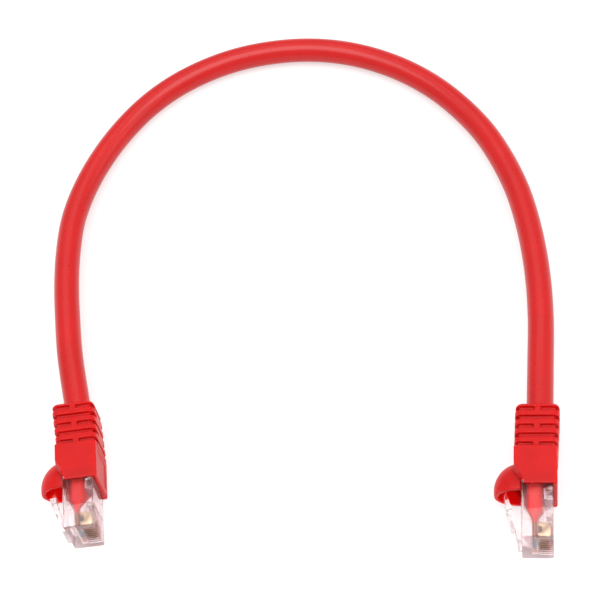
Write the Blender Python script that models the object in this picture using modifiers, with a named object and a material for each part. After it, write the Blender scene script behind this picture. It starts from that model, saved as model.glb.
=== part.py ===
"""Short ethernet patch lead: two 8-way modular plugs with snag-guard boots on one round cable.

Units are metres and +Z is up. The lead lies on its side on the plane z = 0: the width of both plugs
is vertical, their noses point to -Y and their contacts face +X. Each end is modelled in the frame of
an empty at the middle of the plug's nose, with +X to the contact side, +Y back towards the cable and
+Z along the plug's width. The origin is the bottom centre of the box round the two ends.
"""
import math

import bmesh
import bpy
import numpy as np
from mathutils import Matrix, Vector

MM = 0.001

# The two ends: where the middle of the nose is, how far the plug turns in, how far back the boot sits
# from its middle position, and how far the cable has pulled the back of the boot sideways.
ENDS = {
    "left": {
        "nose": (-46.8 * MM, -10.8 * MM), "turn": math.radians(3.9),
        "seat": -0.4 * MM, "lean": -0.95 * MM,
    },
    "right": {
        "nose": (49.2 * MM, -19.5 * MM), "turn": math.radians(-3.9),
        "seat": 0.4 * MM, "lean": 0.45 * MM,
    },
}
BOOT_HALF_WIDTH = 6.2 * MM

# Clear plug housing.
PLUG_HALF_WIDTH = 5.84 * MM
PLUG_HALF_THICK = 3.3 * MM
FRONT_GAP = 0.2 * MM
PLUG_LENGTH = 21.4 * MM
SHANK_HALF_WIDTH = 4.7 * MM
SHANK_HALF_THICK = 3.25 * MM
CAVITY_HALF_WIDTH = 4.2 * MM
CAVITY_LATCH_X = -2.75 * MM
CAVITY_CONTACT_X = 3.0 * MM
FUNNEL_BACK = 6.4 * MM
FUNNEL_FRONT = 3.9 * MM
ROW_X = -0.5 * MM
ROW_CHANNEL = 0.55 * MM
EDGE_ROUND = 0.2 * MM
WIRE_WINDOW = ((2.2 * MM, 4.6 * MM, -3.9 * MM), (3.6 * MM, 5.5 * MM, 3.9 * MM))
JACKET_WINDOW = ((2.7 * MM, 9.0 * MM, -2.6 * MM), (3.6 * MM, 10.4 * MM, 2.6 * MM))

# Contacts.
PIN_COUNT = 8
PIN_PITCH = 1.016 * MM
SLOT_WIDTH = 0.6 * MM
SLOT_OUTLINE = ((3.6, -0.3), (3.6, 4.0), (-0.2, 4.0), (-0.2, 0.7), (1.2, 0.7), (1.2, -0.3))
BLADE_THICK = 0.32 * MM
BLADE_OUTLINE = (
    (2.6, 1.15), (2.6, 3.7), (0.15, 3.7), (0.15, 3.2), (0.9, 3.0),
    (0.9, 1.8), (0.15, 1.6), (0.15, 1.0), (2.1, 0.85),
)

# Latch.
LATCH_OUTLINE = (
    (-3.6, 0.5), (-3.6, 1.4), (-6.65, 12.9), (-7.5, 13.0), (-6.35, 8.6), (-6.65, 8.4),
    (-5.55, 4.6), (-5.0, 4.4), (-4.3, 1.2), (-4.05, 0.5),
)
LATCH_PIVOT = (-3.9 * MM, 1.2 * MM)
LATCH_HALF_WIDTH = 3.1 * MM
TAIL_HALF_WIDTH = 1.5 * MM
LATCH_SHOULDER = 8.4 * MM
LATCH_CUT_X = (-5.0 * MM, 2.0 * MM)
LATCH_CUT_BACK = 16.0 * MM

# Boot and its hood.
BOOT_FRONT = 11.4 * MM
BOOT_BODY_BACK = 20.35 * MM
BOOT_BACK = 31.2 * MM
BOOT_LATCH_X = -4.8 * MM
BOOT_CONTACT_X = 4.3 * MM
BOOT_EDGE = 0.5 * MM
CUTTER_REACH = 9.0 * MM
RELIEF_X = -0.1 * MM
RELIEF_CORNER = 1.2 * MM
RELIEF_FRONT_HALF_THICK = 4.6 * MM
RELIEF_BACK_HALF_THICK = 4.8 * MM
RELIEF_FRONT_HALF_WIDTH = 6.0 * MM
RELIEF_BACK_HALF_WIDTH = 4.9 * MM
SLEEVE_HALF_THICK = 3.5 * MM
SLEEVE_HALF_WIDTH = 4.85 * MM
SLEEVE_BACK = 22.1 * MM
RELIEF_LEVELS = 5
RELIEF_PITCH = 2.2 * MM
RELIEF_SLOT = 0.8 * MM
RELIEF_CORE_HALF_THICK = 3.95 * MM
RELIEF_DEPTH = 0.85 * MM
SIDE_WEB_HALF = 0.65 * MM
FACE_WEB_HALF = 2.4 * MM
HOOD_NOTCH = ((-6.0, 10.5), (-2.8, 10.5), (-2.8, 11.4), (-5.0, 15.6), (-6.0, 15.6))
HOOD_RADII = (5.6 * MM, 6.2 * MM, 4.5 * MM)
HOOD_MIDDLE = (-3.5 * MM, 12.4 * MM)
HOOD_EDGE_X = -5.2 * MM
HOOD_WALL = 0.5 * MM
HOOD_PIVOT = (-5.0 * MM, 17.9 * MM)
HOOD_REACH = 12.0 * MM

# Cable.
JACKET_RADIUS = 2.9 * MM
JACKET_BORE = 2.4 * MM
JACKET_IN_PLUG = 0.88
JACKET_START = 8.8 * MM
JACKET_FREE = 22.0 * MM
JACKET_ROUND = 28.0 * MM
JACKET_DEPTHS = (JACKET_START, 12.0 * MM, 17.0 * MM, JACKET_FREE, 26.0 * MM, BOOT_BACK)
JACKET_X = 0.35 * MM
BOOT_BORE = 3.15 * MM
CONDUCTOR_RADIUS = 0.4 * MM
CONDUCTOR_RING = 1.45 * MM
SPREAD_DEPTHS = (4.2 * MM, 8.6 * MM)
FANNED_BACK = 7.2 * MM
CONDUCTOR_DEPTHS = (0.9, 3.6, 4.6, 5.6, 6.6, 7.6, 8.8, 12.0, 18.0, 24.0, 31.2)
CABLE_STEP = 6.2 * MM
PLUG_RUN_DEPTHS = (0.0, 7.0 * MM, 14.0 * MM, BOOT_BODY_BACK, 25.8 * MM, BOOT_BACK)

# The free cable between the boots: middle of the cable, in millimetres.
FREE_ROUTE = (
    (-52.0, 34.0, 6.1), (-53.1, 43.5, 5.7), (-53.9, 53.0, 5.3), (-54.1, 62.5, 4.8),
    (-53.4, 72.0, 4.3), (-51.2, 80.8, 3.8), (-47.4, 89.8, 3.35), (-42.4, 98.0, 3.05),
    (-36.3, 105.1, 2.95), (-29.0, 110.8, 2.95), (-20.1, 115.2, 2.95), (-11.4, 117.6, 2.95),
    (-1.5, 118.4, 2.95), (7.5, 117.5, 2.95), (16.3, 114.9, 2.95), (25.4, 110.2, 2.95),
    (33.0, 104.3, 2.95), (39.0, 97.8, 2.95), (44.5, 89.8, 3.0), (48.3, 81.6, 3.25),
    (51.4, 72.0, 3.7), (53.1, 63.0, 4.15), (54.1, 53.2, 4.7), (54.4, 44.0, 5.2),
    (54.1, 34.5, 5.7), (53.3, 25.0, 6.1), (52.5, 16.0, 6.2),
)

CONDUCTOR_COLOURS = {
    1: ("white_orange", (0.90, 0.62, 0.42)),
    2: ("orange", (0.85, 0.25, 0.03)),
    3: ("white_green", (0.62, 0.80, 0.60)),
    4: ("blue", (0.03, 0.10, 0.55)),
    5: ("white_blue", (0.55, 0.66, 0.85)),
    6: ("green", (0.02, 0.32, 0.08)),
    7: ("white_brown", (0.72, 0.60, 0.50)),
    8: ("brown", (0.20, 0.08, 0.03)),
}


def clear_scene():
    for obj in list(bpy.data.objects):
        bpy.data.objects.remove(obj, do_unlink=True)


def new_collection(name):
    collection = bpy.data.collections.new(name)
    bpy.context.scene.collection.children.link(collection)
    return collection


def new_material(name, colour, roughness, metallic=0.0, transmission=0.0):
    material = bpy.data.materials.new(name)
    material.use_nodes = True
    shader = material.node_tree.nodes["Principled BSDF"]
    shader.inputs["Base Color"].default_value = (*colour, 1.0)
    shader.inputs["Roughness"].default_value = roughness
    shader.inputs["Metallic"].default_value = metallic
    shader.inputs["Transmission Weight"].default_value = transmission
    return material


def add_object(name, data, collection, parent=None, material=None):
    obj = bpy.data.objects.new(name, data)
    collection.objects.link(obj)
    obj.parent = parent
    if material is not None and not data.materials:
        data.materials.append(material)
    return obj


def add_empty(name, collection, location, turn=0.0, parent=None):
    empty = bpy.data.objects.new(name, None)
    empty.empty_display_size = 4 * MM
    collection.objects.link(empty)
    empty.parent = parent
    empty.location = location
    empty.rotation_euler = (0.0, 0.0, turn)
    return empty


def baked(obj):
    """Replace an object's mesh or curve by its evaluated mesh, with loose caps welded on."""
    graph = bpy.context.evaluated_depsgraph_get()
    graph.update()
    mesh = bpy.data.meshes.new_from_object(obj.evaluated_get(graph))
    edit = bmesh.new()
    edit.from_mesh(mesh)
    bmesh.ops.remove_doubles(edit, verts=edit.verts, dist=1e-7)
    edit.to_mesh(mesh)
    edit.free()
    name = obj.name
    collection = obj.users_collection[0]
    parent = obj.parent
    placing = obj.matrix_basis.copy()
    bpy.data.objects.remove(obj, do_unlink=True)
    made = add_object(name, mesh, collection, parent)
    made.matrix_basis = placing
    return made


def as_cutter(obj):
    obj.hide_render = True
    obj.display_type = "WIRE"
    return obj


def combine(target, other, operation):
    modifier = target.modifiers.new(operation.title(), "BOOLEAN")
    modifier.operation = operation
    modifier.object = other
    modifier.solver = "EXACT"


def add_box(name, low, high, collection, parent=None, material=None):
    """A box between two corners."""
    low, high = Vector(low), Vector(high)
    mesh = bpy.data.meshes.new(name)
    edit = bmesh.new()
    bmesh.ops.create_cube(edit, size=1.0)
    bmesh.ops.scale(edit, vec=high - low, verts=edit.verts)
    bmesh.ops.translate(edit, vec=(low + high) / 2, verts=edit.verts)
    edit.to_mesh(mesh)
    edit.free()
    return add_object(name, mesh, collection, parent, material)


def add_ellipsoid(name, centre, radii, collection):
    mesh = bpy.data.meshes.new(name)
    edit = bmesh.new()
    bmesh.ops.create_uvsphere(edit, u_segments=24, v_segments=12, radius=1.0)
    bmesh.ops.scale(edit, vec=radii, verts=edit.verts)
    bmesh.ops.translate(edit, vec=centre, verts=edit.verts)
    edit.to_mesh(mesh)
    edit.free()
    return add_object(name, mesh, collection)


def add_prism(name, outline, low, high, collection, parent=None, material=None):
    """A flat outline in X and Y, given in millimetres, that stands from z = low to z = high."""
    curve = bpy.data.curves.new(name, "CURVE")
    curve.dimensions = "2D"
    curve.fill_mode = "BOTH"
    curve.extrude = (high - low) / 2
    spline = curve.splines.new("POLY")
    spline.points.add(len(outline) - 1)
    spline.use_cyclic_u = True
    for point, (x, y) in zip(spline.points, outline):
        point.co = (x * MM, y * MM, 0.0, 1.0)
    obj = add_object(name, curve, collection, parent, material)
    obj.location.z = (low + high) / 2
    return obj


def add_tube(name, points, radii, collection, material=None, resolution=2):
    """A round tube through points, as thick at each as its radius there."""
    curve = bpy.data.curves.new(name, "CURVE")
    curve.dimensions = "3D"
    curve.bevel_depth = 1.0
    curve.bevel_resolution = resolution
    curve.use_fill_caps = True
    spline = curve.splines.new("POLY")
    spline.points.add(len(points) - 1)
    spline.use_smooth = True
    for point, place, radius in zip(spline.points, points, radii):
        point.co = (*place, 1.0)
        point.radius = radius
    return add_object(name, curve, collection, None, material)


def row_z(pin):
    """Height of a pin's middle above the plug's middle. Pin 1 is the lowest one."""
    return (pin - (PIN_COUNT + 1) / 2) * PIN_PITCH


def housing(end, name, parts, cutters, clear):
    """Clear plug body: the block that enters the jack and the narrower shank inside the boot."""
    front_length = BOOT_FRONT + ENDS[name]["seat"] - FRONT_GAP
    body = add_box(
        f"{name}_plug_housing",
        (-PLUG_HALF_THICK, 0.0, -PLUG_HALF_WIDTH),
        (PLUG_HALF_THICK, front_length, PLUG_HALF_WIDTH),
        parts, end, clear,
    )
    edges = body.modifiers.new("Edges", "BEVEL")
    edges.width = EDGE_ROUND
    edges.segments = 1
    shank = add_box(
        f"{name}_shank",
        (-SHANK_HALF_THICK, front_length - MM, -SHANK_HALF_WIDTH),
        (SHANK_HALF_THICK, PLUG_LENGTH, SHANK_HALF_WIDTH),
        cutters, end,
    )
    combine(body, as_cutter(shank), "UNION")
    combine(body, as_cutter(cavity(end, name, cutters)), "DIFFERENCE")
    for pin in range(1, PIN_COUNT + 1):
        combine(body, as_cutter(contact_slot(end, name, pin, cutters)), "DIFFERENCE")
    for window in crimp_windows(end, name, cutters):
        combine(body, as_cutter(window), "DIFFERENCE")
    return body


def cavity(end, name, cutters):
    """Room for the jacket, the funnel in front of it and the flat channel for the row of conductors."""
    row = ROW_X / MM
    half = ROW_CHANNEL / MM
    latch, contact = CAVITY_LATCH_X / MM, CAVITY_CONTACT_X / MM
    back, front = FUNNEL_BACK / MM, FUNNEL_FRONT / MM
    past_end = PLUG_LENGTH / MM + 1
    outline = (
        (row - half, 0.6), (row + half, 0.6), (row + half, front), (contact, back),
        (contact, past_end), (latch, past_end), (latch, back), (row - half, front),
    )
    return baked(add_prism(
        f"{name}_cavity", outline, -CAVITY_HALF_WIDTH, CAVITY_HALF_WIDTH, cutters, end
    ))


def contact_slot(end, name, pin, cutters):
    """Slot over one conductor: open at the contact face and at the upper part of the nose."""
    middle = row_z(pin)
    return baked(add_prism(
        f"{name}_slot_{pin}", SLOT_OUTLINE, middle - SLOT_WIDTH / 2, middle + SLOT_WIDTH / 2,
        cutters, end,
    ))


def crimp_windows(end, name, cutters):
    """The two rectangular pockets that the crimping tool leaves in the contact face."""
    return (
        add_box(f"{name}_wire_pocket", *WIRE_WINDOW, cutters, end),
        add_box(f"{name}_jacket_pocket", *JACKET_WINDOW, cutters, end),
    )


def contacts(end, name, parts, gold):
    """Eight blades, each with two tines that stand over its conductor."""
    first = None
    for pin in range(1, PIN_COUNT + 1):
        blade_name = f"{name}_contact_{pin}"
        if first is None:
            first = add_prism(
                blade_name, BLADE_OUTLINE, -BLADE_THICK / 2, BLADE_THICK / 2, parts, end, gold
            )
            blade = first
        else:
            blade = add_object(blade_name, first.data, parts, end)
        blade.location = (0.0, 0.0, row_z(pin))


def latch(end, name, parts, cutters, clear):
    """Spring latch: thin root at the nose, wide barbs, then the narrow tail under the hood."""
    pivot_x, pivot_y = LATCH_PIVOT
    pivot = add_empty(f"{name}_latch_pivot", parts, (pivot_x, pivot_y, 0.0), 0.0, end)
    from_pivot = [(x - pivot_x / MM, y - pivot_y / MM) for x, y in LATCH_OUTLINE]
    body = baked(add_prism(
        f"{name}_latch", from_pivot, -LATCH_HALF_WIDTH, LATCH_HALF_WIDTH, parts, pivot, clear
    ))
    for side in (-1, 1):
        near, far = side * TAIL_HALF_WIDTH, side * 2 * LATCH_HALF_WIDTH
        step = add_box(
            f"{name}_tail_step_{'top' if side > 0 else 'bottom'}",
            (LATCH_CUT_X[0], LATCH_SHOULDER - pivot_y, min(near, far)),
            (LATCH_CUT_X[1], LATCH_CUT_BACK, max(near, far)), cutters, pivot,
        )
        combine(body, as_cutter(step), "DIFFERENCE")
    return body


def relief_half_width(y):
    """Half width of the strain relief, which narrows towards the cable."""
    along = (y - BOOT_BODY_BACK) / (BOOT_BACK - BOOT_BODY_BACK)
    return RELIEF_FRONT_HALF_WIDTH + along * (RELIEF_BACK_HALF_WIDTH - RELIEF_FRONT_HALF_WIDTH)


def relief_block(end, name, cutters):
    """Tapered block of the strain relief before its slots are cut."""
    thick, width = RELIEF_FRONT_HALF_THICK, RELIEF_FRONT_HALF_WIDTH
    block = add_box(
        f"{name}_relief", (-thick, BOOT_BODY_BACK - MM, -width), (thick, BOOT_BACK, width),
        cutters, end,
    )
    for vertex in block.data.vertices:
        if vertex.co.y > BOOT_BODY_BACK:
            vertex.co.x *= RELIEF_BACK_HALF_THICK / thick
            vertex.co.z *= RELIEF_BACK_HALF_WIDTH / width
    block.location.x = RELIEF_X
    corners = block.modifiers.new("Corners", "BEVEL")
    corners.width = RELIEF_CORNER
    corners.segments = 3
    return block


def relief_slots(end, name, level, cutters):
    """One level of slots: a groove all round, broken by two webs that change sides at each level."""
    front = BOOT_BODY_BACK + level * RELIEF_PITCH
    middle, back = front + RELIEF_SLOT / 2, front + RELIEF_SLOT
    core_width = relief_half_width(middle) - RELIEF_DEPTH
    reach = CUTTER_REACH
    groove = add_box(
        f"{name}_groove_{level}", (-reach, front, -reach), (reach, back, reach), cutters, end
    )
    core = add_box(
        f"{name}_core_{level}",
        (RELIEF_X - RELIEF_CORE_HALF_THICK, front - MM, -core_width),
        (RELIEF_X + RELIEF_CORE_HALF_THICK, back + MM, core_width), cutters, end,
    )
    if level % 2 == 0:
        web_x, web_z = SIDE_WEB_HALF, reach + MM
    else:
        web_x, web_z = reach + MM, FACE_WEB_HALF
    web = add_box(
        f"{name}_web_{level}", (RELIEF_X - web_x, front - MM, -web_z),
        (RELIEF_X + web_x, back + MM, web_z), cutters, end,
    )
    combine(groove, as_cutter(core), "DIFFERENCE")
    combine(groove, as_cutter(web), "DIFFERENCE")
    return groove


def relief_shift(y, name):
    """How far the strain relief has leaned sideways with the cable at this depth in the boot."""
    along = max(0.0, (y - BOOT_BODY_BACK) / (BOOT_BACK - BOOT_BODY_BACK))
    return ENDS[name]["lean"] * along


def boot(end, name, parts, cutters, red):
    """Moulded boot: a sleeve round the shank and a slotted strain relief round the cable."""
    body = add_box(
        f"{name}_boot",
        (BOOT_LATCH_X, BOOT_FRONT, -BOOT_HALF_WIDTH),
        (BOOT_CONTACT_X, BOOT_BODY_BACK, BOOT_HALF_WIDTH), parts, end, red,
    )
    edges = body.modifiers.new("Edges", "BEVEL")
    edges.width = BOOT_EDGE
    edges.segments = 2
    combine(body, as_cutter(relief_block(end, name, cutters)), "UNION")
    for level in range(RELIEF_LEVELS):
        combine(body, as_cutter(relief_slots(end, name, level, cutters)), "DIFFERENCE")
    sleeve = add_box(
        f"{name}_sleeve", (-SLEEVE_HALF_THICK, BOOT_FRONT - MM, -SLEEVE_HALF_WIDTH),
        (SLEEVE_HALF_THICK, SLEEVE_BACK, SLEEVE_HALF_WIDTH), cutters, end,
    )
    combine(body, as_cutter(sleeve), "DIFFERENCE")
    depths = (SLEEVE_BACK - MM, BOOT_BACK + MM)
    bore = baked(add_tube(
        f"{name}_bore", [(JACKET_X, y, 0.0) for y in depths], [BOOT_BORE] * 2, cutters
    ))
    bore.parent = end
    combine(body, as_cutter(bore), "DIFFERENCE")
    notch = baked(add_prism(
        f"{name}_hood_notch", HOOD_NOTCH, -BOOT_HALF_WIDTH - MM, BOOT_HALF_WIDTH + MM, cutters, end
    ))
    combine(body, as_cutter(notch), "DIFFERENCE")
    body = baked(body)
    for vertex in body.data.vertices:
        vertex.co.x += relief_shift(vertex.co.y, name)
    return body


def hood(end, name, parts, cutters, red):
    """Domed hood over the latch's tail: part of a hollow egg, open towards the nose."""
    pivot_x, pivot_y = HOOD_PIVOT
    middle_x, middle_y = HOOD_MIDDLE
    pivot = add_empty(f"{name}_hood_pivot", parts, (pivot_x, pivot_y, 0.0), 0.0, end)
    centre = Vector((middle_x - pivot_x, middle_y - pivot_y, 0.0))
    shell = add_ellipsoid(f"{name}_hood", centre, HOOD_RADII, parts)
    shell.parent = pivot
    shell.data.materials.append(red)
    inner = add_ellipsoid(
        f"{name}_hood_inside", centre, [radius - HOOD_WALL for radius in HOOD_RADII], cutters
    )
    inner.parent = pivot
    keep = add_box(
        f"{name}_hood_keep", (-HOOD_REACH, BOOT_FRONT - pivot_y, -HOOD_REACH),
        (HOOD_EDGE_X - pivot_x, HOOD_REACH, HOOD_REACH), cutters, pivot,
    )
    combine(shell, as_cutter(keep), "INTERSECT")
    combine(shell, as_cutter(inner), "DIFFERENCE")
    return shell


def smooth_step(value, start, end):
    share = min(1.0, max(0.0, (value - start) / (end - start)))
    return share * share * (3 - 2 * share)


def plug_run(name):
    """The cable's middle through one plug and boot, from the nose back, as world points."""
    seat, (nose_x, nose_y) = ENDS[name]["seat"], ENDS[name]["nose"]
    turn = Matrix.Rotation(ENDS[name]["turn"], 3, "Z")
    run = []
    for depth in PLUG_RUN_DEPTHS:
        y = depth + (seat if depth >= BOOT_BODY_BACK else 0.0)
        place = turn @ Vector((JACKET_X + relief_shift(depth, name), y, 0.0))
        run.append((nose_x + place.x, nose_y + place.y, BOOT_HALF_WIDTH))
    return run


def whole_route():
    """The cable's middle from the left plug's nose to the right plug's nose."""
    free = [tuple(value * MM for value in point) for point in FREE_ROUTE]
    return np.array(plug_run("left") + free + plug_run("right")[::-1])


def smooth_curve(points, samples=24):
    """Points close together on a centripetal Catmull-Rom curve through the given ones."""
    ends = np.vstack([2 * points[0] - points[1], points, 2 * points[-1] - points[-2]])
    dense = []
    for a, b, c, d in zip(ends, ends[1:], ends[2:], ends[3:]):
        t1 = np.linalg.norm(b - a) ** 0.5
        t2 = t1 + np.linalg.norm(c - b) ** 0.5
        t3 = t2 + np.linalg.norm(d - c) ** 0.5
        for t in np.linspace(t1, t2, samples, endpoint=False):
            first = (t1 - t) / t1 * a + t / t1 * b
            second = (t2 - t) / (t2 - t1) * b + (t - t1) / (t2 - t1) * c
            third = (t3 - t) / (t3 - t2) * c + (t - t2) / (t3 - t2) * d
            fourth = (t2 - t) / t2 * first + t / t2 * second
            fifth = (t3 - t) / (t3 - t1) * second + (t - t1) / (t3 - t1) * third
            dense.append((t2 - t) / (t2 - t1) * fourth + (t - t1) / (t2 - t1) * fifth)
    dense.append(points[-1])
    return np.array(dense)


def stations(length, end_steps):
    """Distances along the route: the given steps in from both ends, even steps between."""
    middle_steps = round((length - 2 * end_steps[-1]) / CABLE_STEP)
    middle = np.linspace(end_steps[-1], length - end_steps[-1], middle_steps + 1)
    near = list(end_steps[:-1])
    return np.concatenate([near, middle, [length - step for step in reversed(near)]])


def frames_along(curve, places):
    """Point, sideways direction and distance from both ends at each place along the curve."""
    steps = np.linalg.norm(np.diff(curve, axis=0), axis=1)
    along = np.concatenate([[0.0], np.cumsum(steps)])
    points = np.stack([np.interp(places, along, curve[:, axis]) for axis in range(3)], axis=1)
    tangents = np.gradient(curve, along, axis=0)
    headings = np.stack([np.interp(places, along, tangents[:, axis]) for axis in range(3)], axis=1)
    sides = np.cross(headings, (0.0, 0.0, 1.0))
    sides /= np.linalg.norm(sides, axis=1)[:, None]
    return points, sides, along[-1]


def jacket(curve, length, parts, cutters, red):
    """Round outer jacket, squeezed a little where it is crimped inside each plug."""
    places = stations(length, JACKET_DEPTHS)
    points, _, _ = frames_along(curve, places)
    shrink = []
    for place in places:
        depth = min(place, length - place)
        rounded = smooth_step(depth, JACKET_FREE, JACKET_ROUND)
        shrink.append(JACKET_IN_PLUG + (1 - JACKET_IN_PLUG) * rounded)
    outer = add_tube(
        "cable_jacket", points, [JACKET_RADIUS * share for share in shrink], parts, red
    )
    longer = points.copy()
    longer[0] += points[0] - points[1]
    longer[-1] += points[-1] - points[-2]
    bore = add_tube(
        "jacket_bore", longer, [JACKET_BORE * share for share in shrink], cutters
    )
    outer = baked(outer)
    combine(outer, as_cutter(baked(bore)), "DIFFERENCE")


def ring_angle(pin):
    """Angle of a conductor in the ring, so that heights in the ring keep the order of the row."""
    pair, second = divmod(pin - 1, 2)
    height = 45 * pair - 67.5
    return math.radians(height if second else 180 - height)


def conductor(curve, length, pin, parts):
    """One insulated conductor: flat row in each plug, ring of eight inside the jacket."""
    places = stations(length, [depth * MM for depth in CONDUCTOR_DEPTHS])
    points, sides, total = frames_along(curve, places)
    angle = ring_angle(pin)
    path = []
    for point, side, place in zip(points, sides, places):
        depth = min(place, total - place)
        facing = 1 if place < total / 2 else -1
        spread = smooth_step(depth, *SPREAD_DEPTHS)
        across = min(1.0, max(0.0, (depth - FUNNEL_FRONT) / (FANNED_BACK - FUNNEL_FRONT)))
        row_x = facing * (ROW_X - JACKET_X)
        x = row_x + across * (CONDUCTOR_RING * math.cos(angle) - row_x)
        z = row_z(pin) + spread * (CONDUCTOR_RING * math.sin(angle) - row_z(pin))
        path.append(tuple(point + x * side + np.array((0.0, 0.0, z))))
    label, colour = CONDUCTOR_COLOURS[pin]
    insulation = new_material(f"insulation_{label}", colour, 0.45)
    radii = [CONDUCTOR_RADIUS] * len(path)
    add_tube(f"conductor_{pin}_{label}", path, radii, parts, insulation, resolution=1)


def build():
    clear_scene()
    parts = new_collection("ethernet_patch_cable")
    cutters = new_collection("cutters")
    clear = new_material("clear_polycarbonate", (0.95, 0.95, 0.96), 0.08, transmission=0.9)
    gold = new_material("gold_plate", (0.83, 0.60, 0.22), 0.25, metallic=1.0)
    red = new_material("red_boot", (0.78, 0.03, 0.03), 0.5)
    jacket_red = new_material("red_jacket", (0.80, 0.03, 0.03), 0.35)
    for name, place in ENDS.items():
        end = add_empty(f"{name}_end", parts, (*place["nose"], BOOT_HALF_WIDTH), place["turn"])
        seat = add_empty(f"{name}_seat", parts, (0.0, place["seat"], 0.0), 0.0, end)
        bpy.context.view_layer.update()
        housing(end, name, parts, cutters, clear)
        contacts(end, name, parts, gold)
        latch(end, name, parts, cutters, clear)
        boot(seat, name, parts, cutters, red)
        hood(seat, name, parts, cutters, red)
    curve = smooth_curve(whole_route())
    length = float(np.linalg.norm(np.diff(curve, axis=0), axis=1).sum())
    jacket(curve, length, parts, cutters, jacket_red)
    for pin in range(1, PIN_COUNT + 1):
        conductor(curve, length, pin, parts)


build()
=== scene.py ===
"""Looks of the ethernet patch cable: clear plugs, gold contacts, soft red boots, and the cable between."""
import math

import bmesh
import bpy
import numpy as np
from mathutils import Matrix, Vector


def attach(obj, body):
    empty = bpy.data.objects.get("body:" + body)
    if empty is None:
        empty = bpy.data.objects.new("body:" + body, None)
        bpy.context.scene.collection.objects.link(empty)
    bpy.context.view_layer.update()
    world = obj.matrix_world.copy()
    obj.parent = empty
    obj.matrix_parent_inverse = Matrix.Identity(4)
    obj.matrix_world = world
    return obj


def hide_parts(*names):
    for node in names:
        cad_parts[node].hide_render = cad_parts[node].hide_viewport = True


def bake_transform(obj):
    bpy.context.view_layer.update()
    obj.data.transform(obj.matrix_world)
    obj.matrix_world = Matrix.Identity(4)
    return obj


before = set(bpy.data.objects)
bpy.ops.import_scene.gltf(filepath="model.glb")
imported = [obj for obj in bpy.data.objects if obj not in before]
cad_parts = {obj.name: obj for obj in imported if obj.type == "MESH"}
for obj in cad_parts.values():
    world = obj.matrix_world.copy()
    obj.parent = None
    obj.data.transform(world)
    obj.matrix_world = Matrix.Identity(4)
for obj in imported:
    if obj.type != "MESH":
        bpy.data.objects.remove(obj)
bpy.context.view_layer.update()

MM = 0.001

# The two ends, as in the CAD model. Noses and the middle's height are in metres. In an end's own frame
# the nose is at Y = 0, +X is the contact side, +Y runs back towards the cable and +Z is the plug's
# width. Sizes in that frame are in millimetres, and a depth is a distance behind the nose.
# A boot sits a little forward or back of its middle place on its plug, and the cable pulls the back of
# its strain relief sideways: that is its lean.
ENDS = {
    "left": {"nose": (-0.0468, -0.0108), "turn": math.radians(3.9), "seat": -0.4, "lean": -0.95},
    "right": {"nose": (0.0492, -0.0195), "turn": math.radians(-3.9), "seat": 0.4, "lean": 0.45},
}
MIDDLE_HEIGHT = 0.0062

# How far joined blocks and cutters reach into or past one another, and how far a cutter reaches that
# only has to clear the whole boot.
OVERLAP = 1.0
CUTTER_REACH = 9.0

# Edges sharper than this are rounded, and those sharper than the other two stay crisp to the eye.
ROUNDED_ANGLE = math.radians(30)
CRISP_PLASTIC = math.radians(28)
CRISP_METAL = math.radians(40)

# Plug: its wide front reaches a little into the boot. Behind that are a short hidden neck, as wide but
# without the latch side's corner, and a narrower shank.
PLUG_HALF_WIDTH = 5.84
PLUG_HALF_THICK = 3.3
PLUG_EDGE = 0.3
FRONT_INSIDE = 1.0
NECK_LATCH_X = -2.7
NECK_LENGTH = 1.2
PLUG_LENGTH = 21.4
SHANK_HALF_WIDTH = 4.7
SHANK_HALF_THICK = 3.25

# The plug's hollow: eight channels in a flat row, a funnel, then the jacket's room with the crimp bar.
# Two windows in the contact side show where the crimp pressed in.
CAVITY_HALF_WIDTH = 4.2
CAVITY_LATCH_X = -2.75
CAVITY_CONTACT_X = 3.0
FUNNEL_BACK = 7.0
FUNNEL_FRONT = 3.4
FUNNEL_CURVE = 1.6
FUNNEL_STEPS = 8
BAR_X = 1.4
BAR_OUTLINE = ((CAVITY_CONTACT_X, 8.5), (BAR_X, 8.9), (BAR_X, 11.2), (CAVITY_CONTACT_X, 11.8))
WIRE_WINDOW = ((1.75, 4.7, -4.9), (3.6, 5.5, 4.9))
JACKET_WINDOW = ((BAR_X + 0.5, 9.3, -5.0), (3.6, 10.7, 5.0))
ROW_X = -0.5
ROW_CHANNEL = 0.55
CHANNEL_WIDTH = 0.9
CHANNEL_FRONT = 0.6
CHANNEL_BACK = 3.2
CHANNEL_OVERLAP = 0.1

# Contacts, one in each slot.
PIN_COUNT = 8
PIN_PITCH = 1.016
SLOT_WIDTH = 0.6
SLOT_OUTLINE = ((3.6, -0.3), (3.6, 4.0), (-0.2, 4.0), (-0.2, 0.7), (0.4, 0.7), (0.4, -0.3))
BLADE_THICK = 0.32
BLADE_EDGE = 0.06
BLADE_OUTLINE = (
    (2.6, 1.15), (2.6, 3.7), (0.15, 3.7), (0.15, 3.2), (0.9, 3.0),
    (0.9, 1.8), (0.15, 1.6), (0.15, 1.0), (2.1, 0.85),
)

# Latch: seen from the side it has its root at the nose, a thin bend, a ramp up to the barbs and a tail.
# Behind its shoulders it is as narrow as the tail.
LATCH_OUTLINE = (
    (-3.1, 0.3), (-3.1, 1.5), (-3.62, 1.7), (-6.65, 12.9), (-7.5, 13.0), (-6.35, 8.6),
    (-6.65, 8.4), (-5.55, 4.6), (-5.0, 4.4), (-4.3, 1.2), (-4.05, 0.3),
)
LATCH_HALF_WIDTH = 3.1
LATCH_EDGE = 0.12
LATCH_SHOULDER = 8.4
TAIL_HALF_WIDTH = 1.5
TAIL_CUT_X = (-9.0, -1.0)
TAIL_CUT_BACK = 16.0
TAIL_CUT_HALF_WIDTH = 6.0

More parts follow.
